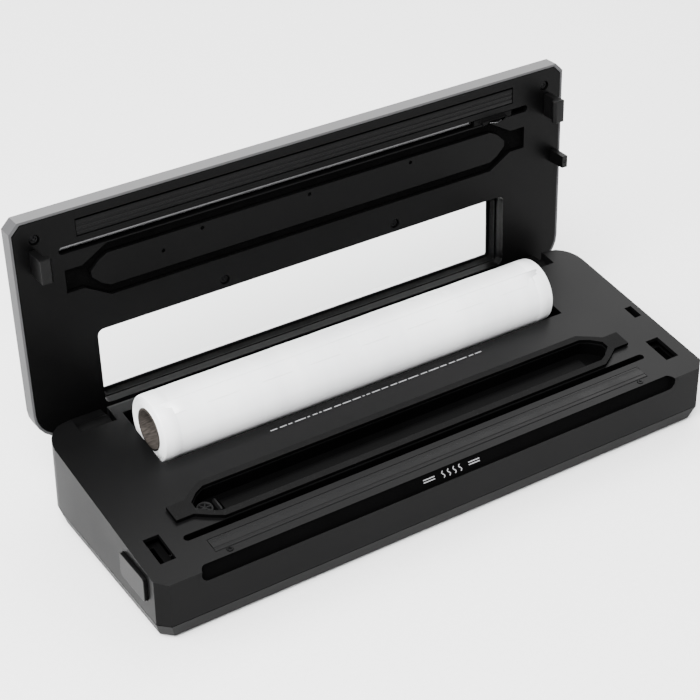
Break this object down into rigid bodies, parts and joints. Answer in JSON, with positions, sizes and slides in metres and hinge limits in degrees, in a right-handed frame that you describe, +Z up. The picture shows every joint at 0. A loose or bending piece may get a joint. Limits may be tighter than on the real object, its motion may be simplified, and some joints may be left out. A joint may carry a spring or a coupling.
{
  "type": "vacuum sealer",
  "caption": "Countertop vacuum sealer: wedge base with sealing deck and film roll trough, lid with window, cutter and latch hooks, shown open.",
  "frame": {"origin": "centre of the open machine's box, on the surface it stands on", "axes": "+X across the width to the user's right, +Y from the front to the hinge side, +Z up"},
  "size_m": [0.3916, 0.1842, 0.1866],
  "materials": {
    "deck_black": "satin black moulded plastic with fine texture",
    "cover_black": "matte black plastic",
    "shell_grey": "satin silver-grey plastic",
    "panel_black": "satin black plastic",
    "button_black": "satin black plastic",
    "control_black": "gloss black plastic",
    "key_grey": "satin grey plastic",
    "foot_rubber": "soft rubber",
    "gasket_foam": "closed-cell black foam",
    "silicone": "smooth dark silicone",
    "heater_tape": "woven non-stick tape",
    "steel": "bright steel",
    "brass": "machined brass",
    "inner_plastic": "plain grey plastic",
    "hose_rubber": "black silicone tube",
    "circuit_board": "green circuit board with components",
    "film": "translucent embossed film wound tight",
    "card": "brown paper tube",
    "clear_window": "clear acrylic"
  },
  "bodies": {
    "base": {"base_housing": "deck_black", "bottom_cover": "cover_black", "foot_front_left": "foot_rubber", "foot_front_right": "foot_rubber", "foot_rear_left": "foot_rubber", "foot_rear_right": "foot_rubber", "bottom_screw_1": "steel", "bottom_screw_2": "steel", "bottom_screw_3": "steel", "bottom_screw_4": "steel", "lower_gasket": "gasket_foam", "suction_port": "inner_plastic", "heater_bar": "inner_plastic", "heater_tape": "heater_tape", "heater_screw_left": "steel", "heater_screw_right": "steel", "release_spring_left": "steel", "release_spring_right": "steel", "hinge_pin_left": "steel", "hinge_pin_right": "steel", "pump_motor": "steel", "pump_head": "inner_plastic", "suction_hose": "hose_rubber", "power_supply": "circuit_board", "control_board": "circuit_board", "power_inlet": "inner_plastic", "lid_switch": "inner_plastic"},
    "lid": {"lid_shell": "shell_grey", "lid_panel": "panel_black", "window_frame": "panel_black", "window_pane": "clear_window", "upper_gasket": "gasket_foam", "seal_bar": "silicone", "cutter_rail": "steel", "latch_hook_left": "panel_black", "latch_hook_right": "panel_black", "switch_post": "panel_black", "lid_screw_1": "steel", "lid_screw_2": "steel", "lid_screw_3": "steel", "lid_screw_4": "steel", "hinge_arm_left": "panel_black", "hinge_arm_right": "panel_black", "control_strip": "control_black"},
    "cutter": {"cutter_slider": "button_black", "cutter_blade": "steel"},
    "film": {"film_roll": "film", "film_core": "card"},
    "release_left": {"release_button_left": "button_black", "release_catch_left": "inner_plastic"},
    "release_right": {"release_button_right": "button_black", "release_catch_right": "inner_plastic"},
    "seal_key": {"button_seal": "key_grey"},
    "vacuum_key": {"button_vacuum": "key_grey"},
    "stop_key": {"button_stop": "key_grey"},
    "plunger": {"switch_plunger": "inner_plastic"},
    "crank": {"pump_crank": "brass"}
  },
  "joints": [
    {"name": "lid_hinge", "type": "hinge", "parent": "base", "child": "lid", "pos_m": [0, 0.04865, 0.04756], "axis": [1, 0, 0], "range_deg": [0, 99.6]},
    {"name": "cutter_slide", "type": "slide", "parent": "lid", "child": "cutter", "axis": [-1, 0, 0], "range_m": [0, 0.275]},
    {"name": "film_spin", "type": "hinge", "parent": "base", "child": "film", "pos_m": [0, 0.01462, 0.06037], "axis": [1, 0, 0], "continuous": true},
    {"name": "release_left_press", "type": "slide", "parent": "base", "child": "release_left", "axis": [1, 0, 0], "range_m": [0, 0.0028], "stiffness_N_per_m": 400, "deforming": ["release_spring_left"]},
    {"name": "release_right_press", "type": "slide", "parent": "base", "child": "release_right", "axis": [-1, 0, 0], "range_m": [0, 0.0028], "stiffness_N_per_m": 400, "deforming": ["release_spring_right"]},
    {"name": "seal_press", "type": "slide", "parent": "lid", "child": "seal_key", "axis": [0, -0.999, 0.0441], "range_m": [0, 0.0006], "stiffness_N_per_m": 500},
    {"name": "vacuum_press", "type": "slide", "parent": "lid", "child": "vacuum_key", "axis": [0, -0.999, 0.0441], "range_m": [0, 0.0006], "stiffness_N_per_m": 500},
    {"name": "stop_press", "type": "slide", "parent": "lid", "child": "stop_key", "axis": [0, -0.999, 0.0441], "range_m": [0, 0.0006], "stiffness_N_per_m": 500},
    {"name": "plunger_press", "type": "slide", "parent": "base", "child": "plunger", "axis": [0, 0.1231, -0.9924], "range_m": [0, 0.0008], "stiffness_N_per_m": 200},
    {"name": "crank_spin", "type": "hinge", "parent": "base", "child": "crank", "pos_m": [0.0565, 0.00685, 0.0186], "axis": [1, 0, 0], "continuous": true}
  ]
}
